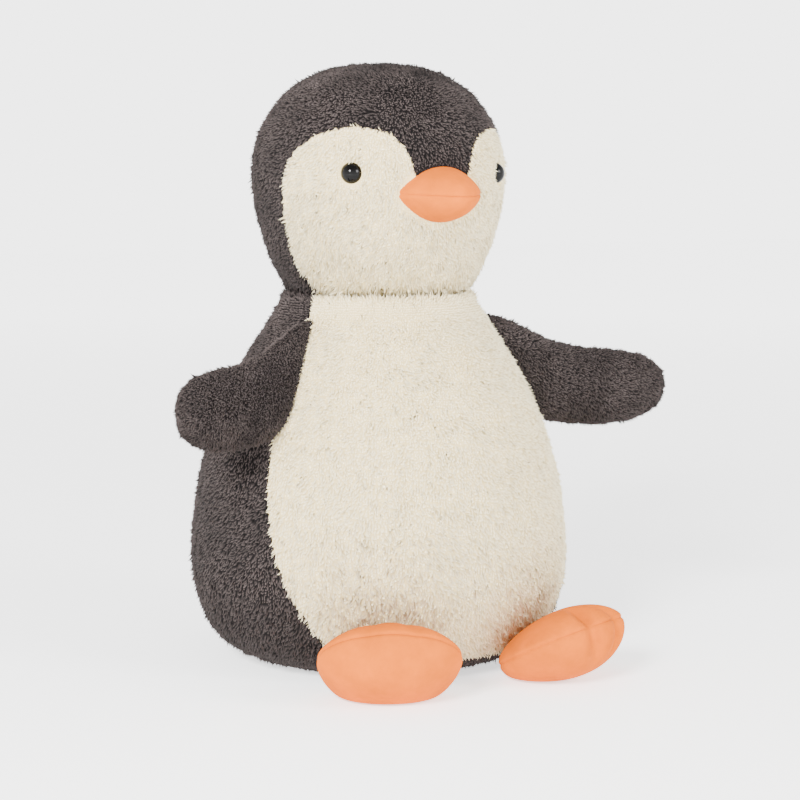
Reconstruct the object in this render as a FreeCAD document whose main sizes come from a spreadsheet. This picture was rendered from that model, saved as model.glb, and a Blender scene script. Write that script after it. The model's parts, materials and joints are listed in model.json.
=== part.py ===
import FreeCAD, Part
import math
import os

# A small standing plush penguin, in millimetres. It faces -Y, +Z is up and its right side is -X.
# The origin is the centre of the flat base. Every soft piece is a plain closed solid.

V = FreeCAD.Vector
TURN = FreeCAD.Rotation
UP = V(0, 0, 1)
BIG = 400.0

doc = FreeCAD.newDocument("plush_penguin")
sheet = doc.addObject("Spreadsheet::Sheet", "Sizes")

SIZES = [
    # whole toy
    ("total_height", 340.0), ("pile_cloth", 3.0), ("suede_cloth", 1.2), ("soft_gap", 0.45),
    # pear-shaped body
    ("base_radius", 71.0), ("hip_radius", 110.0), ("hip_height", 58.0),
    ("chest_radius", 98.0), ("chest_height", 130.0),
    ("shoulder_radius", 61.0), ("shoulder_height", 199.0),
    ("seam_angle", 67.5), ("pouch_radius", 46.0), ("pouch_height", 26.0),
    # head and the ball-shaped stuffing that it turns on
    ("neck_radius", 53.0), ("neck_height", 213.0), ("pivot_height", 256.0),
    ("head_radius", 73.0), ("head_centre", 272.0), ("plug_depth", 10.0), ("plug_angle", 38.0),
    # beak
    ("beak_half_width", 27.0), ("beak_half_height", 16.5), ("beak_reach", 34.0),
    ("beak_setback", 60.0), ("beak_height", 267.0), ("gusset_half_width", 17.0),
    # safety eyes
    ("eye_radius", 6.0), ("eye_angle", 42.0), ("eye_height", 278.0), ("eye_seat", 70.3),
    ("shank_radius", 1.8), ("shank_length", 9.0), ("washer_radius", 7.0), ("washer_thick", 1.5),
    # wings
    ("wing_root", 61.0), ("wing_tip", 172.0), ("wing_half_thick", 12.0), ("wing_clearance", 3.0),
    ("wing_fill_reach", 130.0), ("wing_fill_height", 151.5),
    ("wing_fill_half_length", 34.0), ("wing_fill_half_height", 18.5),
    # feet
    ("foot_half_width", 38.0), ("foot_half_length", 34.0), ("foot_half_height", 20.0),
    ("foot_flat", 1.0), ("foot_reach", 118.0), ("foot_splay", 27.0), ("foot_clearance", 6.5),
]

for row, (alias, value) in enumerate(SIZES, start=1):
    sheet.set("A%d" % row, alias)
    sheet.set("B%d" % row, str(value))
    sheet.setAlias("B%d" % row, alias)
doc.recompute()

nodes = []


def size(alias):
    return float(sheet.get(alias))


def keep(obj, name):
    """Marks an object as one of the toy's pieces and gives it its name."""
    obj.Label = name
    nodes.append(obj)
    return obj


def bind(obj, **cells):
    for prop, cell in cells.items():
        obj.setExpression(prop.replace("__", "."), cell)
    return obj


def add(kind, name, **props):
    obj = doc.addObject(kind, name)
    for prop, value in props.items():
        setattr(obj, prop, value)
    return obj


def cut(name, base, tool):
    return add("Part::Cut", name, Base=base, Tool=tool)


def common(name, base, tool):
    return add("Part::Common", name, Base=base, Tool=tool)


def half_space(name, x=(-BIG, BIG), y=(-BIG, BIG), z=(-BIG, BIG)):
    """A large box that keeps one side of a seam plane."""
    box = add("Part::Box", name, Length=x[1] - x[0], Width=y[1] - y[0], Height=z[1] - z[0])
    box.Placement.Base = V(x[0], y[0], z[0])
    return box


def turned(degrees):
    return FreeCAD.Placement(V(0, 0, 0), TURN(UP, degrees))


def p(radius, height):
    return V(radius, 0, height)


def spline(points):
    curve = Part.BSplineCurve()
    curve.interpolate(Points=points)
    return curve.toShape()


def arc_about_pivot(radius, start_angle, end_angle):
    """An arc round the head's pivot. Angles are measured from straight down."""
    pivot = size("pivot_height")

    def at(angle):
        a = math.radians(angle)
        return p(radius * math.sin(a), pivot - radius * math.cos(a))

    return Part.Arc(at(start_angle), at(0.5 * (start_angle + end_angle)), at(end_angle)).toShape()


def closed_face(edges):
    """A flat face from edges in order, with straight lines across the gaps between them."""
    joined = []
    for edge, following in zip(edges, edges[1:] + edges[:1]):
        joined.append(edge)
        last = edge.valueAt(edge.LastParameter)
        first = following.valueAt(following.FirstParameter)
        if last.distanceToPoint(first) > 1e-6:
            joined.append(Part.makeLine(last, first))
    return Part.Face(Part.Wire(Part.__sortEdges__(joined)))


def profile(name, edges):
    feature = doc.addObject("Part::Feature", name)
    feature.Shape = closed_face(edges)
    return feature


def revolved(name, source, cell=None):
    """Revolves a profile about the vertical axis, the whole way or through the cell's angle."""
    solid = add("Part::Revolution", name, Source=source, Axis=UP, Base=V(0, 0, 0),
                Angle=360.0, Solid=True)
    if cell:
        bind(solid, Angle=cell)
    return solid


# ---- profiles -------------------------------------------------------------------------------

NECK_ANGLE = math.degrees(math.atan2(size("neck_radius"), size("pivot_height") - size("neck_height")))
BALL = math.hypot(size("neck_radius"), size("pivot_height") - size("neck_height"))
SOCKET = BALL + size("soft_gap")
CHIN_ANGLE = NECK_ANGLE + 11.0


def body_side(inset):
    """The pear's side from the base up to the neck, moved inwards by inset."""
    neck_r = size("neck_radius") - inset
    neck_z = size("pivot_height") - math.sqrt(SOCKET ** 2 - neck_r ** 2)
    outline = [
        (size("base_radius"), 0.0),
        (0.5 * (size("base_radius") + size("hip_radius")) + 4.0, 0.22 * size("hip_height")),
        (size("hip_radius") - 4.0, 0.58 * size("hip_height")),
        (size("hip_radius"), size("hip_height")),
        (size("hip_radius") - 3.0, 0.5 * (size("hip_height") + size("chest_height"))),
        (size("chest_radius"), size("chest_height")),
        (size("chest_radius") - 15.5, 0.5 * (size("chest_height") + size("shoulder_height"))),
        (size("shoulder_radius"), size("shoulder_height")),
    ]
    points = [p(radius - inset, max(height, inset)) for radius, height in outline]
    return spline(points + [p(neck_r, neck_z)])


def grown_side(grow):
    """The same side moved outwards, for clearances."""
    return body_side(-grow)


def head_side(inset):
    """The head's side from under the chin to the crown, moved inwards by inset."""
    ball = BALL - inset
    chin = math.radians(CHIN_ANGLE)
    start = p(ball * math.sin(chin), size("pivot_height") - ball * math.cos(chin))
    centre = p(0, size("head_centre"))
    top = size("total_height") - size("head_centre")
    outline = [(0.925, -0.42), (1.0, 0.02), (0.945, 0.42), (0.74, 0.75), (0.48, 0.925),
               (0.24, 0.985), (0.0, 1.0)]
    points = [start]
    for across, up in outline:
        point = V(across * size("head_radius"), 0, up * top)
        points.append(centre + point * (1.0 - inset / point.Length))
    return spline(points)


def reversed_edge(edge):
    curve = edge.Curve.copy()
    curve.reverse()
    return curve.toShape(curve.FirstParameter, curve.LastParameter)


def line(*points):
    return [Part.makeLine(a, b) for a, b in zip(points, points[1:])]


# ---- body -----------------------------------------------------------------------------------

def socket_angle(radius):
    """Where on the neck socket a surface of this radius meets it, from straight down."""
    return math.degrees(math.asin(radius / SOCKET))


def make_body():
    cloth = size("pile_cloth")
    base = size("base_radius")
    outer_r, inner_r = size("neck_radius"), size("neck_radius") - cloth
    wall = profile("BodyWallProfile", [
        body_side(0.0),
        arc_about_pivot(SOCKET, socket_angle(outer_r), socket_angle(inner_r)),
        reversed_edge(body_side(cloth)),
    ])
    belly = keep(revolved("BellyPanel", wall, "2 * Sizes.seam_angle"), "belly_panel")
    belly.Placement = turned(-90.0 - size("seam_angle"))
    left = keep(revolved("BackPanelLeft", wall, "180 - Sizes.seam_angle"), "back_panel_left")
    left.Placement = turned(size("seam_angle") - 90.0)
    right = keep(revolved("BackPanelRight", wall, "180 - Sizes.seam_angle"), "back_panel_right")
    right.Placement = turned(90.0)

    disc = keep(add("Part::Cone", "BasePanel"), "base_panel")
    bind(disc, Radius1="Sizes.base_radius", Radius2="Sizes.base_radius - Sizes.pile_cloth",
         Height="Sizes.pile_cloth")

    plug_out = SOCKET + size("plug_depth") + size("soft_gap")
    plug_angle = size("plug_angle") + 0.6
    filling = profile("BodyStuffingProfile", [
        *line(p(0, cloth), p(base - cloth, cloth)),
        body_side(cloth),
        arc_about_pivot(SOCKET, socket_angle(inner_r), plug_angle),
        arc_about_pivot(plug_out, plug_angle, 0.0),
    ])
    solid = revolved("BodyFilling", filling)
    hollow = add("Part::Ellipsoid", "PouchHollow")
    bind(hollow, Radius1="Sizes.pouch_height * 0.5", Radius2="Sizes.pouch_radius",
         Radius3="Sizes.pouch_radius", Placement__Base__z="Sizes.pouch_height * 0.5 + 5")
    keep(cut("BodyStuffing", solid, hollow), "body_stuffing")

    pouch = keep(add("Part::Ellipsoid", "BeanPouch"), "bean_pouch")
    bind(pouch, Radius1="Sizes.pouch_height * 0.5 - 0.3", Radius2="Sizes.pouch_radius - 0.3",
         Radius3="Sizes.pouch_radius - 0.3", Placement__Base__z="Sizes.pouch_height * 0.5 + 5")


def make_neck():
    """A lens of stuffing in the neck: it turns in the body and the head nods on it."""
    plug = profile("NeckPlugProfile", [
        arc_about_pivot(SOCKET + size("plug_depth"), 0.0, size("plug_angle")),
        arc_about_pivot(SOCKET, size("plug_angle"), 0.0),
    ])
    keep(revolved("NeckPlug", plug), "neck_plug")


# ---- head -----------------------------------------------------------------------------------

def face_outline():
    """The pale patch as seen from the front: one lobe round each eye, joined under the beak."""
    edge = size("gusset_half_width")
    lobe = [(70.5, 262.0), (70.0, 280.0), (60.0, 297.0), (42.0, 304.0), (27.0, 301.0),
            (edge + 1.0, 291.0), (edge - 1.0, 279.0), (edge - 6.0, 268.0), (0.0, 264.0)]
    jaw = [(0.0, 200.0), (46.0, 200.0), (46.5, 213.0), (58.0, 232.0)]
    points = [V(-x, 0, z) for x, z in jaw] + [V(-x, 0, z) for x, z in lobe]
    side = [Part.makeLine(points[0], points[1]), spline(points[1:])]
    return side + [shape.mirror(V(0, 0, 0), V(1, 0, 0)) for shape in side]


def make_head():
    cloth = size("pile_cloth")
    ball_in = BALL - cloth
    shell = revolved("HeadShell", profile("HeadWallProfile", [
        arc_about_pivot(BALL, NECK_ANGLE, CHIN_ANGLE),
        head_side(0.0),
        reversed_edge(head_side(cloth)),
        arc_about_pivot(ball_in, CHIN_ANGLE, NECK_ANGLE),
    ]))
    outer = revolved("HeadOuter", profile("HeadOuterProfile", [
        arc_about_pivot(BALL, 0.0, NECK_ANGLE),
        arc_about_pivot(BALL, NECK_ANGLE, CHIN_ANGLE),
        head_side(0.0),
    ]))
    filling = revolved("HeadFilling", profile("HeadStuffingProfile", [
        arc_about_pivot(BALL, 0.0, NECK_ANGLE),
        arc_about_pivot(ball_in, NECK_ANGLE, CHIN_ANGLE),
        head_side(cloth),
    ]))

    patch = doc.addObject("Part::Feature", "FaceOutline")
    patch.Shape = Part.Face(Part.Wire(Part.__sortEdges__([
        edge for shape in face_outline() for edge in shape.Edges])))
    prism = add("Part::Extrusion", "FacePrism", Base=patch, DirMode="Custom", Dir=V(0, -1, 0),
                LengthFwd=BIG, Solid=True)
    pale = common("PaleShell", shell, prism)
    dark = cut("DarkShell", shell, prism)

    holes = {}
    for side, sign in (("right", -1), ("left", 1)):
        holes[side] = make_eye(side, sign)
        x = (-BIG, 0.0) if sign < 0 else (0.0, BIG)
        face = common("FaceBlank" + side.title(), pale, half_space("FaceHalf" + side.title(), x=x))
        keep(cut("FacePanel" + side.title(), face, holes[side]), "face_panel_" + side)
        edge = size("gusset_half_width")
        x = (-BIG, -edge) if sign < 0 else (edge, BIG)
        keep(common("HeadSide" + side.title(), dark, half_space("SideHalf" + side.title(), x=x)),
             "head_side_panel_" + side)
    edge = size("gusset_half_width")
    keep(common("CrownGusset", dark, half_space("GussetBand", x=(-edge, edge))), "crown_gusset")

    both = add("Part::MultiFuse", "EyeHoles", Shapes=[holes["right"], holes["left"]])
    keep(cut("HeadStuffing", filling, both), "head_stuffing")
    make_beak(outer)


def eye_frame(sign, distance):
    """A placement whose local +Z points out of the face at one eye, distance from the axis."""
    a = math.radians(size("eye_angle"))
    out = V(sign * math.sin(a), -math.cos(a), 0)
    return FreeCAD.Placement(out * distance + V(0, 0, size("eye_height")), TURN(UP, out))


def make_eye(side, sign):
    """A domed safety eye on a shank, its washer behind the cloth, and the hole they need."""
    name = side.title()
    seat = size("eye_seat")
    dome = add("Part::Sphere", "EyeDome" + name, Angle1=0.0, Angle2=90.0)
    bind(dome, Radius="Sizes.eye_radius")
    dome.Placement = eye_frame(sign, seat)
    shank = add("Part::Cylinder", "EyeShank" + name)
    bind(shank, Radius="Sizes.shank_radius", Height="Sizes.shank_length + 0.5")
    shank.Placement = eye_frame(sign, seat - size("shank_length"))
    keep(add("Part::Fuse", "Eye" + name, Base=dome, Tool=shank), "eye_" + side)

    back = seat - 5.0
    disc = add("Part::Cylinder", "WasherDisc" + name)
    bind(disc, Radius="Sizes.washer_radius", Height="Sizes.washer_thick")
    disc.Placement = eye_frame(sign, back)
    bore = add("Part::Cylinder", "WasherBore" + name, Height=10.0)
    bind(bore, Radius="Sizes.shank_radius + 0.05")
    bore.Placement = eye_frame(sign, back - 4.0)
    keep(cut("EyeWasher" + name, disc, bore), "eye_washer_" + side)

    well = add("Part::Cylinder", "EyeWell" + name, Height=20.0)
    bind(well, Radius="Sizes.eye_radius + 0.1")
    well.Placement = eye_frame(sign, seat)
    passage = add("Part::Cylinder", "ShankHole" + name)
    bind(passage, Radius="Sizes.shank_radius + 0.1", Height="Sizes.shank_length + 1.5")
    passage.Placement = eye_frame(sign, seat - size("shank_length") - 0.5)
    room = add("Part::Cylinder", "WasherRoom" + name)
    bind(room, Radius="Sizes.washer_radius + 0.2", Height="Sizes.washer_thick + 0.3")
    room.Placement = eye_frame(sign, back - 0.15)
    return add("Part::MultiFuse", "EyeHole" + name, Shapes=[well, passage, room])


def make_beak(head_outer):
    """Two suede halves sewn along the sides, with stuffing, standing on the front of the head."""
    where = V(0, -size("beak_setback"), size("beak_height"))
    cells = dict(Radius1="Sizes.beak_half_height", Radius2="Sizes.beak_half_width",
                 Radius3="Sizes.beak_reach")
    outer = add("Part::Ellipsoid", "BeakOuter")
    bind(outer, **cells)
    inner = add("Part::Ellipsoid", "BeakInner")
    bind(inner, **{prop: cell + " - Sizes.suede_cloth" for prop, cell in cells.items()})
    for blob in (outer, inner):
        blob.Placement.Base = where
    skin = cut("BeakSkin", cut("BeakShell", outer, inner), head_outer)
    z = size("beak_height")
    keep(common("BeakUpper", skin, half_space("BeakAbove", z=(z, BIG))), "beak_upper_panel")
    keep(common("BeakLower", skin, half_space("BeakBelow", z=(-BIG, z))), "beak_lower_panel")
    keep(cut("BeakStuffing", inner, head_outer), "beak_stuffing")


# ---- wings ----------------------------------------------------------------------------------

def wing_stations():
    """Along the wing from root to tip: reach, lowest and highest point, and half thickness."""
    root, tip = size("wing_root"), size("wing_tip")
    thick = size("wing_half_thick")
    shape = [(0.0, 133.0, 198.0, 0.2), (0.17, 131.0, 190.0, 0.4), (0.36, 129.0, 178.5, 0.85),
             (0.55, 128.0, 174.0, 1.0), (0.74, 129.0, 174.5, 1.0), (0.88, 133.5, 172.5, 0.82),
             (0.965, 140.5, 167.5, 0.5), (1.0, 147.0, 161.0, 0.2)]
    return [(root + (tip - root) * along, low, high, thick * part)
            for along, low, high, part in shape]


def ring_frame(reach, low, high, across):
    """A placement with local +X up and local +Y across the wing, at the middle of a ring."""
    return FreeCAD.Placement(V(reach, 0, 0.5 * (low + high)),
                             TURN(V(0, 0, 1), V(0, across, 0), V(across, 0, 0), "ZXY"))


def half_wing(name, stations):
    """The front half of the wing as a loft through half ovals, flat along the seam."""
    rings = []
    for number, (reach, low, high, thick) in enumerate(stations):
        bow = Part.Ellipse(V(0, 0, 0), 0.5 * (high - low), thick).toShape(0.0, math.pi)
        bow.Placement = ring_frame(reach, low, high, -1)
        ring = doc.addObject("Part::Feature", "%sRing%d" % (name, number))
        flat = line(bow.valueAt(bow.LastParameter), bow.valueAt(bow.FirstParameter))
        ring.Shape = Part.Wire([bow] + flat)
        rings.append(ring)
    return add("Part::Loft", name, Sections=rings, Solid=True, Ruled=True)


def make_wings():
    side_gap = size("wing_clearance")
    keep_off = revolved("WingKeepOff", profile("WingKeepOffProfile", [
        *line(p(0, -30.0), p(size("base_radius"), -30.0)),
        grown_side(side_gap),
        *line(p(size("neck_radius") + side_gap, 225.0), p(0, 225.0)),
    ]))
    trimmed = cut("WingHalf", half_wing("WingHalfLoft", wing_stations()), keep_off)
    inner = add("Part::Ellipsoid", "WingFilling")
    bind(inner, Radius1="Sizes.wing_fill_half_height", Radius2="Sizes.wing_fill_half_length",
         Radius3="Sizes.wing_half_thick - Sizes.pile_cloth",
         Placement__Base__x="Sizes.wing_fill_reach", Placement__Base__z="Sizes.wing_fill_height")
    minus = cut("WingSkin", trimmed, inner)
    plus = add("Part::Mirroring", "WingSkinBehind", Source=minus, Normal=V(0, 1, 0))
    splay = 90.0 - size("seam_angle")
    everywhere = half_space("WingRoom")  # keeps all of a half, as a solid of its own per wing
    for side, angle, front, back in (("left", -splay, minus, plus),
                                     ("right", 180.0 + splay, plus, minus)):
        name = side.title()
        for label, half in (("front", front), ("back", back)):
            panel = keep(common("Wing%s%s" % (name, label.title()), half, everywhere),
                         "wing_%s_panel_%s" % (label, side))
            panel.Placement = turned(angle)
        filling = keep(common("WingStuffing" + name, inner, half_space("WingAll" + name)),
                       "wing_stuffing_" + side)
        filling.Placement = turned(angle)


# ---- feet -----------------------------------------------------------------------------------

def make_feet():
    keep_off = revolved("FootKeepOff", profile("FootKeepOffProfile", [
        *line(p(0, -30.0), p(size("base_radius") + size("foot_clearance"), -30.0)),
        grown_side(size("foot_clearance")),
        *line(p(size("neck_radius") + size("foot_clearance"), 225.0), p(0, 225.0)),
    ]))
    centre = V(0, -size("foot_reach"), size("foot_half_height") - size("foot_flat"))
    cells = dict(Radius1="Sizes.foot_half_height", Radius2="Sizes.foot_half_width",
                 Radius3="Sizes.foot_half_length")
    outer = add("Part::Ellipsoid", "FootOuter")
    bind(outer, **cells)
    inner = add("Part::Ellipsoid", "FootInner")
    bind(inner, **{prop: cell + " - Sizes.suede_cloth" for prop, cell in cells.items()})
    for blob in (outer, inner):
        blob.Placement.Base = centre
    above_floor = half_space("AboveFloor", z=(0.0, BIG))
    above_sole = half_space("AboveSole", z=(size("suede_cloth"), BIG))
    shoe = common("FootWhole", cut("FootTrimmed", outer, keep_off), above_floor)
    stuffed = common("FootFill", cut("FootFillTrimmed", inner, keep_off), above_sole)
    skin = cut("FootSkin", shoe, stuffed)
    seam = centre.z
    upper = half_space("FootAbove", z=(seam, BIG))
    lower = half_space("FootBelow", z=(-BIG, seam))
    for side, angle in (("left", size("foot_splay")), ("right", -size("foot_splay"))):
        name = side.title()
        for label, tool in (("upper", upper), ("sole", lower)):
            panel = keep(common("Foot%s%s" % (name, label.title()), skin, tool),
                         "foot_%s_panel_%s" % (label, side))
            panel.Placement = turned(angle)
        filling = keep(common("FootStuffing" + name, stuffed, half_space("FootAll" + name)),
                       "foot_stuffing_" + side)
        filling.Placement = turned(angle)


make_body()
make_neck()
make_head()
make_wings()
make_feet()
doc.recompute()

for obj in doc.Objects:
    if "Invalid" in obj.State or "Error" in obj.State:
        raise RuntimeError("%s did not recompute: %s" % (obj.Name, obj.State))
for obj in nodes:
    if obj.Shape.isNull() or not obj.Shape.isValid() or not obj.Shape.Solids:
        raise RuntimeError("%s has no valid solid" % obj.Label)

os.makedirs("parts", exist_ok=True)
for obj in nodes:
    obj.Shape.exportStep("parts/%s.step" % obj.Label)
    box = obj.Shape.BoundBox
    print("%-24s %7.0f mm3  z %.1f..%.1f  solids %d" % (
        obj.Label, obj.Shape.Volume, box.ZMin, box.ZMax, len(obj.Shape.Solids)))
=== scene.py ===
"""A standing plush penguin: stuffed panels of short pile, suede beak and feet, safety eyes."""

import json
import math

import bmesh
import bpy
import numpy as np
from mathutils import Matrix, Vector, noise

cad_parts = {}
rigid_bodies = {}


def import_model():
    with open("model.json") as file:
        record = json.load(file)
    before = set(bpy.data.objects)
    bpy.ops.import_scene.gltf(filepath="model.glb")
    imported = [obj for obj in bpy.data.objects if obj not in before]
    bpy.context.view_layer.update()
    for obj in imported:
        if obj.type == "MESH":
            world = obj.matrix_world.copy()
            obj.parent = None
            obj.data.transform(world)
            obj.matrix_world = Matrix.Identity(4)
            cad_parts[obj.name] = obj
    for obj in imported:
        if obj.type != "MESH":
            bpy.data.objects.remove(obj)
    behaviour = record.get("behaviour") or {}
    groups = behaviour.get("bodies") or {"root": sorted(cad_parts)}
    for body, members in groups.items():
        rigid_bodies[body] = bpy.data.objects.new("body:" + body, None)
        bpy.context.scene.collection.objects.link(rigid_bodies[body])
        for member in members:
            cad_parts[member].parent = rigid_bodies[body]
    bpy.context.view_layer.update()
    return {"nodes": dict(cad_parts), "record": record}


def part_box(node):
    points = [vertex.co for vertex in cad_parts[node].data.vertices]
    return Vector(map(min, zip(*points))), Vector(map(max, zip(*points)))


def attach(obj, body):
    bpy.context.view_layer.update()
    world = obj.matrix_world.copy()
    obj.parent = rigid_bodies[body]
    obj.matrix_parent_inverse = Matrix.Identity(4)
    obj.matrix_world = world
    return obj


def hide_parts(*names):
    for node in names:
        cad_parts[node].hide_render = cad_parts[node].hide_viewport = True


bl_info = {
    "name": "Plush Penguin",
    "version": (1, 0, 0),
    "blender": (4, 5, 0),
    "location": "View3D > Sidebar > Penguin",
    "description": "Makes the panels, pile, beak, feet, wings and eyes of a plush penguin",
    "category": "Add Mesh",
}

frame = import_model()
SIDES = (("right", -1.0), ("left", 1.0))


def cad_mm(node):
    """A CAD node's lowest and highest corners, in millimetres."""
    low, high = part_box(node)
    return [1000.0 * c for c in low], [1000.0 * c for c in high]


def joint_named(name):
    return next(j for j in frame["record"]["behaviour"]["joints"] if j["name"] == name)


HIP_RADIUS = cad_mm("back_panel_left")[1][1]
BASE_RADIUS = cad_mm("base_panel")[1][0]
HEAD_RADIUS = cad_mm("crown_gusset")[1][1]
CROWN_TOP = cad_mm("crown_gusset")[1][2]
PIVOT = 1000.0 * joint_named("head_nod")["pos_m"][2]
NECK_CENTRE = Vector((0.0, 0.0, PIVOT))
BALL = PIVOT - cad_mm("head_stuffing")[0][2]
DISH = BALL + 1.2
NECK_HEIGHT = 213.0
NECK_RADIUS = math.sqrt(BALL ** 2 - (PIVOT - NECK_HEIGHT) ** 2)
SEAM = 67.5


# ---- settings ------------------------------------------------------------------------------

class PenguinForm(bpy.types.PropertyGroup):
    cloth_depth: bpy.props.FloatProperty(
        name="Cloth depth", description="How far the cloth lies under the tips of the pile, mm",
        default=2.4, min=0.5, max=5.0)
    puff: bpy.props.FloatProperty(
        name="Puff", description="How far stuffing may push the cloth out between seams, mm",
        default=1.8, min=0.0, max=6.0)
    pressure: bpy.props.FloatProperty(
        name="Stuffing pressure", description="Pressure of the stuffing on the cloth",
        default=4.0, min=0.0, max=20.0)


class PenguinPile(bpy.types.PropertyGroup):
    length: bpy.props.FloatProperty(
        name="Length", description="Mean length of the tufts, mm", default=3.0, min=0.5, max=8.0)
    lean: bpy.props.FloatProperty(
        name="Lean", description="How far tufts lie over along the nap, mm",
        default=2.2, min=0.0, max=8.0)
    uneven: bpy.props.FloatProperty(
        name="Unevenness", description="How much tufts differ in length",
        default=0.55, min=0.0, max=1.0, subtype="FACTOR")


class PenguinColours(bpy.types.PropertyGroup):
    charcoal: bpy.props.StringProperty(
        name="Charcoal", description="Tips of the dark pile, sRGB hex", default="4A4240")
    cream: bpy.props.StringProperty(
        name="Cream", description="Tips of the pale pile, sRGB hex", default="FCF1CE")
    orange: bpy.props.StringProperty(
        name="Orange", description="Suede of the beak and feet, sRGB hex", default="C05C02")


# ---- colour and material helpers -------------------------------------------------------------

def hex_colour(text, alpha=1.0):
    """An sRGB hex colour as the linear numbers that a shader takes."""
    parts = [int(text[i:i + 2], 16) / 255.0 for i in (0, 2, 4)]
    return [c / 12.92 if c <= 0.04045 else ((c + 0.055) / 1.055) ** 2.4 for c in parts] + [alpha]


def node(tree, kind, links=None, **settings):
    """Adds a node, sets its properties and numbered or named sockets, and links its inputs."""
    made = tree.nodes.new(kind)
    for key, value in settings.items():
        if hasattr(made, key):
            setattr(made, key, value)
        else:
            made.inputs[key.replace("_", " ")].default_value = value
    for socket, source in (links or {}).items():
        tree.links.new(source, made.inputs[socket])
    return made


def new_material(name, **shader):
    """A material with one Principled shader, whose plain numbers are set on its own sockets."""
    material = bpy.data.materials.new(name)
    material.use_nodes = True
    tree = material.node_tree
    surface = tree.nodes["Principled BSDF"]
    for key, value in shader.items():
        surface.inputs[key.replace("_", " ")].default_value = value
    return material, tree, surface


def pile_material(name, root, tip, shade, roughness, sheen):
    """Short knitted pile: matt fibre, with painted shade making it darker down between the tufts
    and paler at their tips.
    """
    material, tree, surface = new_material(
        name, Roughness=roughness, Sheen_Weight=sheen, Sheen_Roughness=0.5,
        Sheen_Tint=hex_colour(tip), Specular_IOR_Level=0.15)
    pile = node(tree, "ShaderNodeAttribute", attribute_name="pile")
    split = node(tree, "ShaderNodeSeparateColor", {"Color": pile.outputs["Color"]})
    # painted shade: from the root colour at the foot of each tuft to the tip colour, in place of
    # the shade down in the pile
    ramp = node(tree, "ShaderNodeValToRGB", {"Fac": split.outputs["Red"]})
    ramp.color_ramp.elements[0].color = hex_colour(root)
    ramp.color_ramp.elements[1].color = hex_colour(tip)
    ramp.color_ramp.elements[0].position = 0.3
    ramp.color_ramp.elements[1].position = 0.88
    where = node(tree, "ShaderNodeTexCoord")
    # painted shade and sheen: tufts and patches made lighter or darker, by the way each tuft is
    # brushed and at random, standing in for light catching the pile unevenly
    patches = node(tree, "ShaderNodeTexNoise", {"Vector": where.outputs["Object"]},
                   Scale=45.0, Detail=3.0)
    uneven = node(tree, "ShaderNodeMath", {0: split.outputs["Green"], 1: patches.outputs["Fac"]},
                  operation="ADD")
    level = node(tree, "ShaderNodeMapRange", {"Value": uneven.outputs[0]})
    for socket, value in (("From Min", 0.2), ("From Max", 1.6), ("To Min", 1.0 - shade),
                          ("To Max", 1.0 + shade)):
        level.inputs[socket].default_value = value
    mixed = node(tree, "ShaderNodeVectorMath",
                 {0: ramp.outputs["Color"], 1: level.outputs["Result"]}, operation="MULTIPLY")
    tree.links.new(mixed.outputs[0], surface.inputs["Base Color"])
    return material


def suede_material(name, colour):
    """Brushed micro-suede: very matt, faintly lighter and darker in patches: painted sheen where
    the nap lies different ways.
    """
    material, tree, surface = new_material(
        name, Roughness=0.9, Sheen_Weight=0.03, Sheen_Roughness=0.45,
        Sheen_Tint=hex_colour("FF9A4A"), Specular_IOR_Level=0.08)
    where = node(tree, "ShaderNodeTexCoord")
    # painted sheen: patches a little lighter and darker, as brushed nap catches the light
    painted_sheen_mottle = node(tree, "ShaderNodeTexNoise", {"Vector": where.outputs["Object"]},
                  Scale=60.0, Detail=6.0, Roughness=0.65)
    ramp = node(tree, "ShaderNodeValToRGB", {"Fac": painted_sheen_mottle.outputs["Fac"]})
    base = Vector(hex_colour(colour)[:3])
    ramp.color_ramp.elements[0].color = [*(base * 0.82), 1.0]
    ramp.color_ramp.elements[0].position = 0.3
    ramp.color_ramp.elements[1].color = [*(base * 1.12), 1.0]
    ramp.color_ramp.elements[1].position = 0.72
    tree.links.new(ramp.outputs["Color"], surface.inputs["Base Color"])
    # the nap is about a tenth of a millimetre; it is drawn at 0.6 mm so that it shows
    nap = node(tree, "ShaderNodeTexNoise", {"Vector": where.outputs["Object"]},
               Scale=1600.0, Detail=4.0, Roughness=0.6)
    bump = node(tree, "ShaderNodeBump", {"Height": nap.outputs["Fac"]}, Strength=0.25,
                Distance=0.0004)
    tree.links.new(bump.outputs["Normal"], surface.inputs["Normal"])
    return material


def fibre_material(name, colour, scale):
    """A matt, faintly clumped finish for what is out of sight inside the toy."""
    material, tree, surface = new_material(name, Roughness=0.95)
    where = node(tree, "ShaderNodeTexCoord")
    clumps = node(tree, "ShaderNodeTexNoise", {"Vector": where.outputs["Object"]},
                  Scale=scale, Detail=5.0)
    ramp = node(tree, "ShaderNodeValToRGB", {"Fac": clumps.outputs["Fac"]})
    base = Vector(hex_colour(colour)[:3])
    ramp.color_ramp.elements[0].color = [*(base * 0.8), 1.0]
    ramp.color_ramp.elements[1].color = [*base, 1.0]
    tree.links.new(ramp.outputs["Color"], surface.inputs["Base Color"])
    return material


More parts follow.
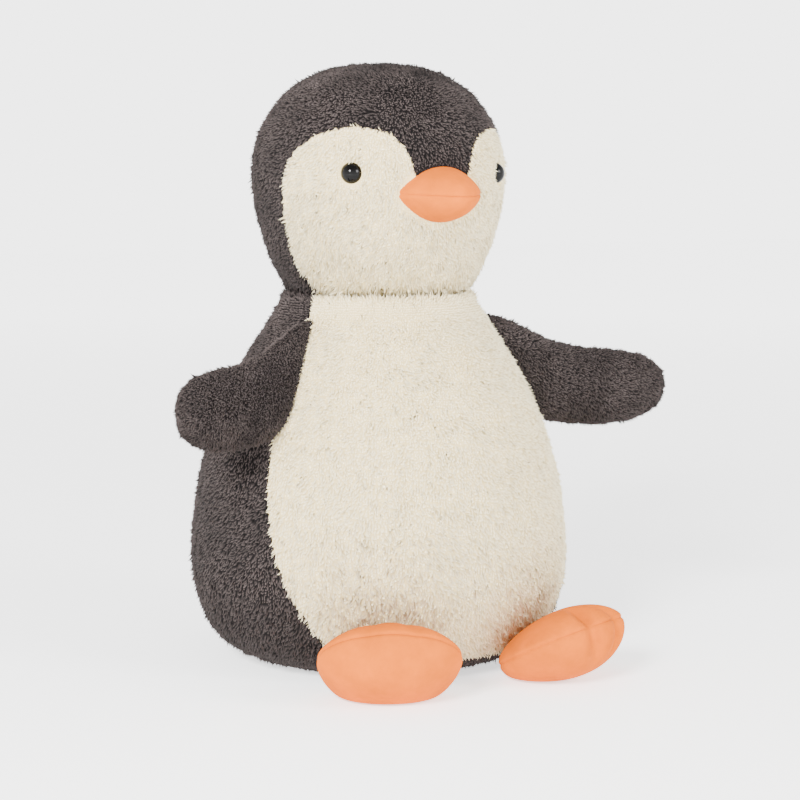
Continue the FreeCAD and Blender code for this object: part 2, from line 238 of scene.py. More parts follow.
def make_materials(colours):
    # moulded and tumbled ABS: black right through, with a sharp small highlight
    eye, tree, surface = new_material("polished_black_abs", Roughness=0.06, IOR=1.5,
                                      Specular_IOR_Level=0.1, Coat_Weight=0.08,
                                      Coat_Roughness=0.02)
    where = node(tree, "ShaderNodeTexCoord")
    cast = node(tree, "ShaderNodeTexNoise", {"Vector": where.outputs["Object"]}, Scale=120.0)
    ramp = node(tree, "ShaderNodeValToRGB", {"Fac": cast.outputs["Fac"]})
    ramp.color_ramp.elements[0].color = hex_colour("020202")
    ramp.color_ramp.elements[1].color = hex_colour("050404")
    tree.links.new(ramp.outputs["Color"], surface.inputs["Base Color"])
    return {
        # knitted polyester: the dark root colour is painted shade in the gaps between lit tips and
        # gives the charcoal its grain; the cream's root is only a little darker, painted shade too,
        # as it scatters so much light that its gaps hardly darken
        "charcoal": pile_material("charcoal_plush_pile", "0A0707", colours.charcoal,
                                  0.6, 0.92, 0.05),
        "cream": pile_material("cream_plush_pile", "D2BD8A", colours.cream, 0.05, 0.92, 0.08),
        "suede": suede_material("orange_micro_suede", colours.orange),
        "eye": eye,
        "fill": fibre_material("polyester_fibre_fill", "F1F0EC", 220.0),
        "pouch": fibre_material("woven_cotton_pouch", "C9C2AE", 1200.0),
        "washer": fibre_material("moulded_nylon_washer", "E4E3DE", 60.0),
    }


MATERIALS = {}
OUTWARD = 0.5  # mm: clear of nought, which is where the cut edges of a panel lie
FRAMES = 20  # how long the stuffing has to push the cloth out
LOWEST = 0.8  # height of the backing cloth under the body


# ---- shaping helpers (millimetres) -----------------------------------------------------------

def smooth_run(points, count):
    """count points, evenly spaced, on a smooth curve through the given ones."""
    keys = [Vector(q) for q in points]
    keys = [2 * keys[0] - keys[1]] + keys + [2 * keys[-1] - keys[-2]]
    dense = []
    for a, b, c, d in zip(keys, keys[1:], keys[2:], keys[3:]):
        for i in range(24):
            u = i / 24.0
            dense.append(0.5 * (2 * b + (c - a) * u + (2 * a - 5 * b + 4 * c - d) * u ** 2
                                + (3 * b - a - 3 * c + d) * u ** 3))
    dense.append(keys[-2])
    run = np.array(dense)
    along = np.concatenate([[0.0], np.cumsum(np.linalg.norm(np.diff(run, axis=0), axis=1))])
    at = np.linspace(0.0, along[-1], count)
    return [Vector([np.interp(x, along, run[:, k]) for k in range(run.shape[1])]) for x in at]


def spin_form(profile, steps):
    """A closed form turned about the upright axis from (radius, height) points."""
    bm = bmesh.new()
    verts = [bm.verts.new((0.0, -r, z)) for r, z in profile]
    edges = [bm.edges.new(pair) for pair in zip(verts, verts[1:])]
    bmesh.ops.spin(bm, geom=verts + edges, axis=(0, 0, 1), cent=(0, 0, 0), dvec=(0, 0, 0),
                   angle=2.0 * math.pi, steps=steps, use_merge=True)
    bmesh.ops.remove_doubles(bm, verts=bm.verts[:], dist=0.01)
    bmesh.ops.recalc_face_normals(bm, faces=bm.faces[:])
    return bm


def place_mesh(name, bm):
    """A bmesh in millimetres as an object at the origin."""
    bmesh.ops.scale(bm, vec=(0.001, 0.001, 0.001), verts=bm.verts[:])
    mesh = bpy.data.meshes.new(name)
    bm.to_mesh(mesh)
    bm.free()
    piece = bpy.data.objects.new(name, mesh)
    bpy.context.scene.collection.objects.link(piece)
    for polygon in mesh.polygons:
        polygon.use_smooth = True
    return piece


def evaluated_bmesh(piece):
    """The piece's mesh with its modifiers applied, back in millimetres."""
    graph = bpy.context.evaluated_depsgraph_get()
    mesh = bpy.data.meshes.new_from_object(piece.evaluated_get(graph))
    bm = bmesh.new()
    bm.from_mesh(mesh)
    bpy.data.meshes.remove(mesh)
    bmesh.ops.scale(bm, vec=(1000.0, 1000.0, 1000.0), verts=bm.verts[:])
    return bm


def discard(piece):
    mesh = piece.data
    bpy.data.objects.remove(piece)
    bpy.data.meshes.remove(mesh)


def stuff(bm, held, pressure, cap, levels):
    """Fills a closed form with stuffing: cloth under pressure, held where held(point) is 1, no
    point moving more than cap millimetres. Returns the form smoothed by levels subdivisions."""
    piece = place_mesh("cloth_form", bm)
    rest = np.array([v.co for v in piece.data.vertices]) * 1000.0
    group = piece.vertex_groups.new(name="held")
    for index, point in enumerate(rest):
        weight = held(Vector(point))
        if weight > 0.01:
            group.add([index], min(1.0, weight), "REPLACE")
    cloth = piece.modifiers.new("Cloth", "CLOTH")
    cloth.settings.quality = 4
    cloth.settings.mass = 0.15
    cloth.settings.use_pressure = True
    cloth.settings.uniform_pressure_force = pressure
    cloth.settings.vertex_group_mass = "held"
    cloth.settings.tension_stiffness = 12.0
    cloth.settings.compression_stiffness = 12.0
    cloth.settings.bending_stiffness = 0.4
    cloth.settings.effector_weights.gravity = 0.0
    cloth.collision_settings.use_collision = False
    cloth.point_cache.frame_start = 1
    cloth.point_cache.frame_end = FRAMES
    scene = bpy.context.scene
    for number in range(1, FRAMES + 1):
        scene.frame_set(number)
    graph = bpy.context.evaluated_depsgraph_get()
    swollen = piece.evaluated_get(graph).data
    moved = np.array([v.co for v in swollen.vertices]) * 1000.0 - rest
    far = np.linalg.norm(moved, axis=1, keepdims=True)
    moved *= np.minimum(1.0, cap / np.maximum(far, 1e-6))
    piece.modifiers.remove(cloth)
    scene.frame_set(1)
    piece.data.vertices.foreach_set("co", ((rest + moved) * 0.001).ravel())
    smooth = piece.modifiers.new("Smooth", "SUBSURF")
    smooth.levels = smooth.render_levels = levels
    out = evaluated_bmesh(piece)
    discard(piece)
    return out


def flat_map(piece):
    """Lays the cloth out flat in a map named OFBake, before the pile is grown."""
    mesh = piece.data
    mesh.uv_layers.active = mesh.uv_layers.new(name="OFBake")
    for other in bpy.context.selected_objects:
        other.select_set(False)
    piece.select_set(True)
    bpy.context.view_layer.objects.active = piece
    bpy.ops.object.mode_set(mode="EDIT")
    bpy.ops.mesh.select_all(action="SELECT")
    bpy.ops.uv.smart_project(angle_limit=1.15, island_margin=0.004, scale_to_bounds=True)
    bpy.ops.object.mode_set(mode="OBJECT")


def panel(name, form, wanted, thickness=0.7):
    """One sewn panel: the form's faces that wanted picks, given the cloth's thickness inwards."""
    bm = form.copy()
    bm.normal_update()
    inward = bm.verts.layers.float_vector.new("inward")
    for v in bm.verts:
        v[inward] = -v.normal
    unwanted = [f for f in bm.faces if not wanted(f.calc_center_median())]
    bmesh.ops.delete(bm, geom=unwanted, context="FACES")
    if not bm.faces:
        raise RuntimeError("no cloth left in " + name)
    made = bmesh.ops.extrude_face_region(bm, geom=bm.faces[:], use_keep_orig=True)["geom"]
    for v in made:
        if isinstance(v, bmesh.types.BMVert):
            v.co += v[inward] * thickness
    bm.verts.layers.float_vector.remove(inward)
    bmesh.ops.recalc_face_normals(bm, faces=bm.faces[:])
    return place_mesh(name, bm)


def grow_pile(piece, core, nap, length, lean, uneven, seed, bare=None):
    """Raises a tuft on every outer face: its middle is lifted, and laid over along the nap.

    core(point) is the middle of the stuffing near a point, so faces that look away from it are
    outside; nap(point, normal) is the way the pile lies; bare(point) is 0 where there is none.
    The attribute "pile" holds how far up the tuft a point is and a number that differs by tuft; the
    materials paint shade with the first and shade and sheen with the second.
    """
    rng = np.random.default_rng(seed)
    bm = bmesh.new()
    bm.from_mesh(piece.data)
    bmesh.ops.scale(bm, vec=(1000.0, 1000.0, 1000.0), verts=bm.verts[:])
    bm.normal_update()
    outer = [f for f in bm.faces
             if f.normal.dot(f.calc_center_median() - core(f.calc_center_median())) > OUTWARD
             and not (bare and bare(f.calc_center_median()) <= 0.0)]
    outer_set = set(outer)
    rim = {v for f in bm.faces if f not in outer_set for v in f.verts}
    mark = bm.verts.layers.float_color.new("pile")
    for v in bm.verts:
        shift = rng.uniform(-0.5, 0.5, 3)
        if v not in rim:
            slide = Vector(shift)
            v.co += slide - v.normal * slide.dot(v.normal)
        # the cloth between the tufts is marked as the foot of a tuft, which the materials give
        # painted shade
        v[mark] = (0.0, rng.uniform(), 0.0, 1.0)
    tips = bmesh.ops.poke(bm, faces=outer, offset=0.0, center_mode="MEAN_WEIGHTED")["verts"]
    bm.normal_update()
    for v in tips:
        long = length * (1.0 + uneven * rng.normal() * 0.6)
        along = nap(v.co, v.normal)
        across = v.normal.cross(along)
        # fingers have brushed the pile this way and that, in patches of a centimetre or two
        brushed = (1.1 * noise.noise(v.co * 0.045)
                   + 0.5 * noise.noise(v.co * 0.13 + Vector((40, 0, 0))))
        side = across * (brushed + rng.normal() * 0.45)
        cover = bare(v.co) if bare else 1.0
        clump = 0.8 + 0.45 * noise.noise(v.co * 0.16) + 0.3 * noise.noise(v.co * 0.4)
        v.co += (v.normal * max(0.45 * length, long * 0.7 * clump)
                 + (along * (1.0 + 0.5 * rng.normal()) + side) * lean * clump) * cover
        # short tufts by the eyes and beak are marked lower, so get more painted shade; the second
        # number follows the brushing, for painted shade and sheen
        v[mark] = (min(1.0, 0.35 + cover), 0.5 + 0.35 * brushed + 0.22 * rng.normal(), 0.0, 1.0)
    bmesh.ops.scale(bm, vec=(0.001, 0.001, 0.001), verts=bm.verts[:])
    bm.to_mesh(piece.data)
    bm.free()
    for polygon in piece.data.polygons:
        polygon.use_smooth = True


def finish_piece(piece, material, body, stands_for):
    """Gives a piece its material and its body, and hides the CAD node that it stands for."""
    piece.data.materials.append(MATERIALS[material])
    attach(piece, body)
    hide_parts(stands_for)
    return piece


def inset_copy(form, depth, name, room=None):
    """The stuffing of a form: the same shape, moved inwards, with room(point) moving it on."""
    bm = form.copy()
    bm.normal_update()
    for v in bm.verts:
        v.co -= v.normal * depth
    if room:
        for v in bm.verts:
            v.co = room(v.co)
    return place_mesh(name, bm)


def downwards(point, normal):
    """The nap of the body: it is brushed down, and turns to stand up where the neck is sewn."""
    way = Vector((0.0, 0.0, -1.0))
    way -= normal * way.dot(normal)
    if way.length < 0.05:
        return Vector((0.0, 1.0, 0.0))
    return way.normalized() * min(1.0, max(-0.9, (203.0 - point.z) / 9.0))


def around_axis(point):
    return Vector((0.0, 0.0, point.z))


def level_way(point):
    """The way from the upright axis out to a point."""
    return Vector((point.x, point.y, 0.0)).normalized()


def azimuth(point):
    """Degrees from straight ahead, positive to the toy's left."""
    return math.degrees(math.atan2(point.x, -point.y))


# ---- body ------------------------------------------------------------------------------------

def body_profile(depth):
    """The body's outline, (radius, height), from the base up to the dish that the head sits in."""
    base, hip = BASE_RADIUS, HIP_RADIUS
    side = [(0.5 * (base + hip) + 4.0, 12.8), (hip - 4.0, 33.6), (hip, 58.0), (hip - 3.0, 94.0),
            (98.0, 130.0), (82.5, 164.5), (61.0, 199.0)]
    side = [(r - depth, z) for r, z in side]
    foot = [(base - depth, LOWEST)]
    rim_r = NECK_RADIUS + 0.6 - 0.4 * depth
    rim = (rim_r, PIVOT - math.sqrt(DISH ** 2 - rim_r ** 2))
    wall = smooth_run(foot + side + [rim], 45)
    bottom = [(r, LOWEST) for r in np.linspace(0.0, base - depth, 13)[:-1]]
    dish = [(DISH * math.sin(angle), PIVOT - DISH * math.cos(angle))
            for angle in np.linspace(math.asin(rim_r / DISH), 0.0, 9)[1:]]
    return bottom + [tuple(q) for q in wall] + dish


def plug_room(point):
    """Moves the stuffing under the neck down, to leave room for the plug that the head nods on."""
    down = point - NECK_CENTRE
    angle = math.degrees(math.acos(max(-1.0, min(1.0, -down.z / down.length))))
    if down.length > BALL + 9.0 or angle > 41.0:
        return point
    return NECK_CENTRE + down.normalized() * (BALL + 11.6)


# the belly's side seam: height, and degrees round from the front
BELLY_SEAM = [(0.0, 38.0), (15.0, 44.0), (32.0, 50.0), (45.0, 54.5), (57.0, 58.0), (69.0, 61.0),
              (82.0, 63.0), (94.0, 64.6), (106.0, 66.0), (119.0, 66.8), (140.0, 67.5),
              (180.0, 68.5), (200.0, 70.5), (214.0, 73.0)]
BASE_TOP = 12.5


def belly_seam(height):
    return float(np.interp(height, [q[0] for q in BELLY_SEAM], [q[1] for q in BELLY_SEAM]))


def body_held(point):
    if point.z < 2.0 or point.z > 205.0 or math.hypot(point.x, point.y) < 40.0:
        return 1.0
    off = min(abs(abs(azimuth(point)) - belly_seam(point.z)), abs(abs(azimuth(point)) - 180.0))
    gap = math.radians(off) * math.hypot(point.x, point.y)
    return math.exp(-(gap / 4.0) ** 2)


class PENGUIN_OT_body(bpy.types.Operator):
    """Make the belly, back and base panels and their pile"""
    bl_idname = "penguin.body"
    bl_label = "Body"

    def execute(self, context):
        form, pile = context.scene.penguin_form, context.scene.penguin_pile
        shape = stuff(spin_form(body_profile(form.cloth_depth), 112), body_held,
                      form.pressure, form.puff, 2)

        snap(shape, [(belly_seam(z), z) for z in np.linspace(8.0, 214.0, 900)], 0.72)

        def on_side(point):
            return point.z > BASE_TOP and math.hypot(point.x, point.y) > 37.0

        def out_of_dish(point):
            """0 where the cloth is turned in under the head, where its pile is pressed flat."""
            gap = (point - NECK_CENTRE).length - BALL
            by_neck = 1.0 + 0.6 * min(1.0, max(0.0, (point.z - 204.0) / 6.0))
            return min(by_neck, max(0.08, (gap - 1.2) / 1.0))

        regions = (
            ("belly", "belly_panel", "cream", "cream_plush",
             lambda p: on_side(p) and abs(azimuth(p)) < belly_seam(p.z), 11),
            ("back_left", "back_panel_left", "charcoal", "charcoal_plush",
             lambda p: on_side(p) and azimuth(p) >= belly_seam(p.z), 12),
            ("back_right", "back_panel_right", "charcoal", "charcoal_plush",
             lambda p: on_side(p) and azimuth(p) <= -belly_seam(p.z), 13),
        )
        for name, replaced, material, slot, wanted, seed in regions:
            piece = panel(name, shape, wanted)
            flat_map(piece)
            grow_pile(piece, around_axis, downwards, pile.length, pile.lean, pile.uneven, seed,
                      out_of_dish)
            finish_piece(piece, material, "body", replaced)
        fill = inset_copy(shape, 1.5, "body_fill", plug_room)
        thin = fill.modifiers.new("Thin", "DECIMATE")
        thin.ratio = 0.4
        finish_piece(fill, "fill", "body", "body_stuffing")
        base = panel("base", shape, lambda p: p.z <= BASE_TOP)
        flat_map(base)
        grow_pile(base, around_axis, downwards, pile.length, 0.5 * pile.lean, pile.uneven, 14,
                  lambda p: min(1.0, max(0.0, (p.z - 1.5) / 3.0)))
        finish_piece(base, "charcoal", "body", "base_panel")
        shape.free()
        return {"FINISHED"}


# ---- head ------------------------------------------------------------------------------------

def head_profile(depth):
    """The head's outline, (radius, height), from the neck's ball up to the crown."""
    chin = math.asin(NECK_RADIUS / BALL) + math.radians(11.0)
    ball = BALL - depth
    centre, top = 272.0, CROWN_TOP - 272.0
    outline = [(0.925, -0.42), (1.0, 0.02), (0.945, 0.42), (0.74, 0.75), (0.48, 0.925),
               (0.24, 0.985), (0.0, 1.0)]
    side = [(ball * math.sin(chin), PIVOT - ball * math.cos(chin))]
    for across, up in outline:
        away = Vector((across * HEAD_RADIUS, up * top))
        away *= 1.0 - depth / away.length
        side.append((away.x, centre + away.y))
    under = [(ball * math.sin(a), PIVOT - ball * math.cos(a))
             for a in np.linspace(0.0, chin, 12)[:-1]]
    return under + [tuple(q) for q in smooth_run(side, 33)]


# the pale patch of one side of the face: degrees round from the front, and height
FACE_EDGE = [(70.0, 204.0), (71.5, 212.0), (75.0, 219.0), (78.5, 226.0), (79.8, 233.0),
             (79.0, 243.0), (78.4, 256.0), (77.4, 268.0), (75.4, 279.0), (72.2, 287.0),
             (67.0, 293.5), (59.0, 299.0), (49.0, 302.2), (39.0, 303.2), (29.0, 301.0),
             (22.5, 297.5), (18.2, 292.0), (15.6, 286.0), (14.3, 280.0), (12.5, 274.5),
             (8.0, 270.0), (0.0, 268.0)]
GUSSET = 17.0
EYE_SEAT = 3.3  # from the middle of the washer to the back of the dome
EYE_DENT = 1.6  # how far an eye pulls the face in


def snap(form, outline, reach):
    """Moves the form's points that are nearly on a seam onto it, on both sides of the toy.

    outline holds (degrees from the front, height); reach is in millimetres.
    """
    line = np.array(outline)
    for v in form.verts:
        radius = math.hypot(v.co.x, v.co.y)
        if radius < 20.0:
            continue
        at = azimuth(v.co)
        away = (line - (abs(at), v.co.z)) * (math.radians(1.0) * radius, 1.0)
        gaps = np.hypot(away[:, 0], away[:, 1])
        best = int(gaps.argmin())
        if gaps[best] < reach:
            turn = math.radians(math.copysign(line[best, 0], at))
            v.co = Vector((radius * math.sin(turn), -radius * math.cos(turn), line[best, 1]))


def inside(outline, x, z):
    """True where (x, z) is inside a closed outline."""
    hit = False
    for (ax, az), (bx, bz) in zip(outline, outline[1:] + outline[:1]):
        if (az > z) != (bz > z) and x < ax + (z - az) * (bx - ax) / (bz - az):
            hit = not hit
    return hit


def head_nap(point, normal):
    """The nap of the head: down, and back from the beak."""
    way = Vector((0.0, 0.55, -1.0))
    way -= normal * way.dot(normal)
    return way.normalized() if way.length > 0.05 else Vector((0.0, 1.0, 0.0))


def eye_place(sign):
    """The middle of one eye's back on the face, and the way it looks, from its CAD washer."""
    low, high = cad_mm("eye_washer_right" if sign < 0 else "eye_washer_left")
    middle = 0.5 * (Vector(low) + Vector(high))
    out = Vector((middle.x, middle.y, 0.0)).normalized()
    return middle + out * EYE_SEAT, out


def head_held(point):
    if (point - NECK_CENTRE).length < BALL - 1.0 and point.z < 214.0:
        return 1.0
    if point.z > 281.0 or point.y > 0.0:
        return math.exp(-((abs(point.x) - GUSSET) / 4.0) ** 2)
    return 0.0


class PENGUIN_OT_head(bpy.types.Operator):
    """Make the face, crown and back-of-head panels and their pile"""
    bl_idname = "penguin.head"
    bl_label = "Head"

    def execute(self, context):
        form, pile = context.scene.penguin_form, context.scene.penguin_pile
        shape = stuff(spin_form(head_profile(form.cloth_depth - 0.8), 88), head_held,
                      form.pressure, form.puff, 2)
        edge = [tuple(q) for q in smooth_run(FACE_EDGE, 700)]
        snap(shape, edge, 0.62)
        outline = edge + [(-1.0, 268.0), (-1.0, 190.0), (70.0, 190.0)]
        eyes = [eye_place(sign)[0] for _, sign in SIDES]
        for v in shape.verts:  # both eyes are tied back into the head
            for eye in eyes:
                dent = EYE_DENT * math.exp(-((v.co - eye).length / 7.0) ** 2)
                v.co -= level_way(v.co) * dent

        def skin(point):
            down = (NECK_CENTRE - point).normalized()
            return down.z < math.cos(math.radians(37.0)) or point.z > PIVOT

        def pale(point):
            return point.y < 20.0 and inside(outline, abs(azimuth(point)), point.z)

        low, high = cad_mm("beak_upper_panel")
        beak = Vector((0.0, low[1], low[2]))

        def bare(point):
            near = min((point - eye).length for eye in eyes)
            off = point - beak
            rim = math.hypot(off.x / (0.5 * (high[0] - low[0])), off.z / (high[2] - low[2]))
            by_beak = (rim - 0.95) / 0.12 if point.y < -40.0 else 1.0
            if point.z < 220.0:
                return 1.0 + 0.6 * min(1.0, (220.0 - point.z) / 5.0)
            return min(1.0, max(0.05, (near - 6.0) / 2.5), max(0.25, by_beak))

        regions = (
            ("face_right", "face_panel_right", "cream", "cream_plush",
             lambda p: skin(p) and p.x < 0.0 and pale(p), 21),
            ("face_left", "face_panel_left", "cream", "cream_plush",
             lambda p: skin(p) and p.x >= 0.0 and pale(p), 22),
            ("crown", "crown_gusset", "charcoal", "charcoal_plush",
             lambda p: skin(p) and abs(p.x) < GUSSET and not pale(p), 23),
            ("head_side_right", "head_side_panel_right", "charcoal", "charcoal_plush",
             lambda p: skin(p) and p.x <= -GUSSET and not pale(p), 24),
            ("head_side_left", "head_side_panel_left", "charcoal", "charcoal_plush",
             lambda p: skin(p) and p.x >= GUSSET and not pale(p), 25),
        )

        def core(point):
            return Vector((0.0, 0.0, min(max(point.z, 250.0), 290.0)))

        for name, replaced, material, slot, wanted, seed in regions:
            piece = panel(name, shape, wanted)
            flat_map(piece)
            grow_pile(piece, core, head_nap, pile.length * 0.9, pile.lean * 0.9, pile.uneven,
                      seed, bare)
            finish_piece(piece, material, "head", replaced)
        fill = inset_copy(shape, 1.5, "head_fill")
        thin = fill.modifiers.new("Thin", "DECIMATE")
        thin.ratio = 0.4
        finish_piece(fill, "fill", "head", "head_stuffing")
        shape.free()
        return {"FINISHED"}


class PENGUIN_OT_eyes(bpy.types.Operator):
    """Make the two domed safety eyes"""
    bl_idname = "penguin.eyes"
    bl_label = "Eyes"

    def execute(self, context):
        for side, sign in SIDES:
            place, out = eye_place(sign)
            dome = [(0.0, 5.4), (1.2, 5.3), (2.6, 4.85), (3.9, 4.0), (5.0, 2.8), (5.7, 1.5),
                    (6.0, 0.4), (5.9, -0.5), (5.3, -1.1), (3.5, -1.3), (1.8, -1.4)]
            run = [tuple(q) for q in smooth_run(dome, 26)] + [(1.8, -8.5), (1.5, -9.0), (0.0, -9.0)]
            bm = bmesh.new()
            verts = [bm.verts.new((r, 0.0, z)) for r, z in run]
            edges = [bm.edges.new(pair) for pair in zip(verts, verts[1:])]
            bmesh.ops.spin(bm, geom=verts + edges, axis=(0, 0, 1), cent=(0, 0, 0),
                           angle=2.0 * math.pi, steps=48, use_merge=True)
            bmesh.ops.remove_doubles(bm, verts=bm.verts[:], dist=0.001)
            bmesh.ops.recalc_face_normals(bm, faces=bm.faces[:])
            turn = Vector((0, 0, 1)).rotation_difference(out).to_matrix().to_4x4()
            bmesh.ops.transform(bm, matrix=Matrix.Translation(place) @ turn, verts=bm.verts[:])
            piece = place_mesh("safety_eye_" + side, bm)
            finish_piece(piece, "eye", "head", "eye_" + side)
        return {"FINISHED"}


# ---- beak ------------------------------------------------------------------------------------

def dome_form(rows, columns):
    """A ball of quads whose poles are at its left and right."""
    bm = bmesh.new()
    bmesh.ops.create_uvsphere(bm, u_segments=columns, v_segments=rows, radius=1.0)
    bmesh.ops.rotate(bm, verts=bm.verts[:], cent=(0, 0, 0),
                     matrix=Matrix.Rotation(math.pi / 2, 3, "Y"))
    return bm


BEAK_ROOT = -60.0  # where the beak is widest, inside the face
DROOP = 1.5  # how far the tip hangs below the root


class PENGUIN_OT_beak(bpy.types.Operator):
    """Make the two suede halves of the beak and what fills them"""
    bl_idname = "penguin.beak"
    bl_label = "Beak"

    def execute(self, context):
        form = context.scene.penguin_form
        low, _ = cad_mm("beak_lower_panel")
        _, high = cad_mm("beak_upper_panel")
        half_w = 0.5 * (high[0] - low[0])
        middle = 0.5 * (low[2] + high[2])
        reach = -low[1] - 1.5
        bm = dome_form(28, 56)
        for v in bm.verts:
            x, y, z = v.co
            forward = max(0.0, -y)
            narrow = 1.0 - 0.28 * forward ** 2
            lens = math.copysign(abs(z) ** 1.05, z) * (1.0 - 0.42 * abs(x) ** 2.5)
            v.co = Vector((x * half_w * narrow, BEAK_ROOT + y * (reach + BEAK_ROOT),
                           middle + lens * 16.2 - DROOP * forward ** 2))

        def held(point):
            by_seam = math.exp(-((point.z - middle + 1.0) / 1.6) ** 2)
            return by_seam + (1.0 if point.y > BEAK_ROOT else 0.0)

        shape = stuff(bm, held, form.pressure, 1.2, 1)

        def side_line(point):
            forward = (BEAK_ROOT - point.y) / (reach + BEAK_ROOT)
            return middle - DROOP * min(1.0, max(0.0, forward)) ** 2

        core = lambda p: Vector((p.x * 0.5, BEAK_ROOT, middle))
        for v in shape.verts:
            off = abs(v.co.z - side_line(v.co))
            v.co += (core(v.co) - v.co).normalized() * 0.7 * math.exp(-(off / 0.9) ** 2)
        front = lambda p: p.y < -58.0
        upper = panel("beak_upper", shape, lambda p: front(p) and p.z >= side_line(p))
        lower = panel("beak_lower", shape, lambda p: front(p) and p.z < side_line(p))
        finish_piece(upper, "suede", "head", "beak_upper_panel")
        finish_piece(lower, "suede", "head", "beak_lower_panel")
        fill = inset_copy(shape, 1.2, "beak_fill")
        finish_piece(fill, "fill", "head", "beak_stuffing")
        shape.free()
        return {"FINISHED"}


# ---- wings -----------------------------------------------------------------------------------

# along the wing: reach from the middle of the toy, lowest and highest point, half thickness
WING = [(52.0, 150.0, 195.0, 2.4), (62.0, 147.0, 199.0, 3.8), (74.0, 141.0, 196.0, 7.0),
        (88.0, 135.5, 189.0, 10.0), (102.0, 132.0, 182.5, 12.0), (118.0, 130.0, 178.5, 13.0),
        (134.0, 129.5, 177.0, 13.0), (148.0, 131.0, 175.5, 12.3), (158.0, 134.0, 173.5, 10.8),
        (166.0, 139.0, 169.5, 8.2), (171.0, 146.0, 162.5, 4.5), (172.5, 152.0, 157.0, 0.6)]


def wing_nap(point, normal):
    """The nap of the wings: towards the tip, and down."""
    way = Vector((1.0, 0.0, -0.55))
    way -= normal * way.dot(normal)
    return way.normalized() if way.length > 0.05 else Vector((0, 0, -1))


def wing_form(depth):
    """A paddle along +X: a ball of quads drawn out to the wing's outline."""
    stations = np.array(WING)
    bm = dome_form(34, 40)
    first, last = stations[0, 0], stations[-1, 0] - depth
    for v in bm.verts:
        s = 0.5 * (1.0 + math.asin(max(-1.0, min(1.0, v.co.x))) / (math.pi / 2))
        reach = first + (last - first) * s
        ring = [float(np.interp(reach + depth * s, stations[:, 0], stations[:, k]))
                for k in (1, 2, 3)]
        flat = math.hypot(v.co.y, v.co.z)
        if flat > 1e-5:
            across, up = v.co.y / flat, v.co.z / flat
        else:
            across = up = 0.0
        half = max(0.3, 0.5 * (ring[1] - ring[0]) - depth)
        thick = max(0.2, ring[2] - depth)
        v.co = Vector((reach, across * thick, 0.5 * (ring[0] + ring[1]) + up * half))
    return bm


class PENGUIN_OT_wings(bpy.types.Operator):
    """Make both wings, each of two pile panels sewn round the edge"""
    bl_idname = "penguin.wings"
    bl_label = "Wings"

    def execute(self, context):
        form, pile = context.scene.penguin_form, context.scene.penguin_pile

        def held(point):
            return math.exp(-(point.y / 1.6) ** 2) if point.x > 80.0 else 1.0

        shape = stuff(wing_form(form.cloth_depth), held, form.pressure, form.puff, 2)
        core = lambda p: Vector((min(p.x, 160.0), 0.0, 151.0))
        for side, sign in SIDES:
            angle = math.radians(90.0 - SEAM)
            turn = Matrix.Rotation(-angle if sign > 0 else math.pi + angle, 4, "Z")
            for label, faces_front in (("front", True), ("back", False)):
                ahead = (sign > 0) == faces_front
                piece = panel("wing_%s_%s" % (label, side), shape,
                              (lambda p: p.y < 0.0) if ahead else (lambda p: p.y >= 0.0))
                flat_map(piece)
                grow_pile(piece, core, wing_nap, pile.length * 0.85, pile.lean * 0.9, pile.uneven,
                          31 + int(faces_front) + (2 if sign > 0 else 0))
                piece.data.transform(turn)
                finish_piece(piece, "charcoal", "wing_" + side,
                             "wing_%s_panel_%s" % (label, side))
            fill = inset_copy(shape, 1.2, "wing_fill_" + side)
            fill.data.transform(turn)
            finish_piece(fill, "fill", "wing_" + side,
                         "wing_stuffing_" + side)
        shape.free()
        return {"FINISHED"}


# ---- feet ------------------------------------------------------------------------------------

TOES = (-20.0, 20.0)  # degrees from straight ahead of the two valleys between the toes
FOOT_HALF_WIDTH, FOOT_FRONT, FOOT_BACK = 38.5, 28.5, 43.0
UPPER_RISE, SOLE_DROP = 16.0, 22.0
# splay and lift of each foot, in degrees, and how deep its valleys are: no two are sewn alike
FOOT_SET = {"right": (27.5, 41.0, 0.15), "left": (23.0, 27.0, 1.1)}


def foot_form(furrow):
    """A foot pointing along -Y, with its seam round the edge and two valleys between its toes."""
    bm = dome_form(56, 96)
    for v in bm.verts:
        x, y, z = v.co
        edge = math.hypot(x, y)
        angle = math.degrees(math.atan2(x, -y))
        notch = max(math.exp(-((angle - toe) / 9.0) ** 2) for toe in TOES)
        out = max(0.0, (edge - 0.25) / 0.75) if y < 0.0 else 0.0
        valley = furrow * notch * out ** 1.1
        above = 1.0 if z > 0.0 else 0.7 * out ** 2
        lens = z ** 1.1 if z > 0.0 else -abs(z) ** 0.92
        lens *= 1.0 - 0.3 * abs(x) ** 3
        thick = UPPER_RISE if z > 0.0 else SOLE_DROP
        shrink = 1.0 - 0.15 * valley
        long = FOOT_FRONT if y < 0.0 else FOOT_BACK
        v.co = Vector((x * FOOT_HALF_WIDTH * shrink, y * long * shrink,
                       lens * thick * (1.0 - 0.88 * valley * above)))
    return bm


def set_down(piece, turn, floor):
    """Turns a piece into its place and lets it settle, easing off as it nears the floor."""
    ease = 1.2
    piece.data.transform(Matrix.Scale(1000.0, 4))
    piece.data.transform(turn)
    for v in piece.data.vertices:
        v.co.z = floor + ease * math.log1p(math.exp((v.co.z - floor) / ease))
    piece.data.transform(Matrix.Scale(0.001, 4))


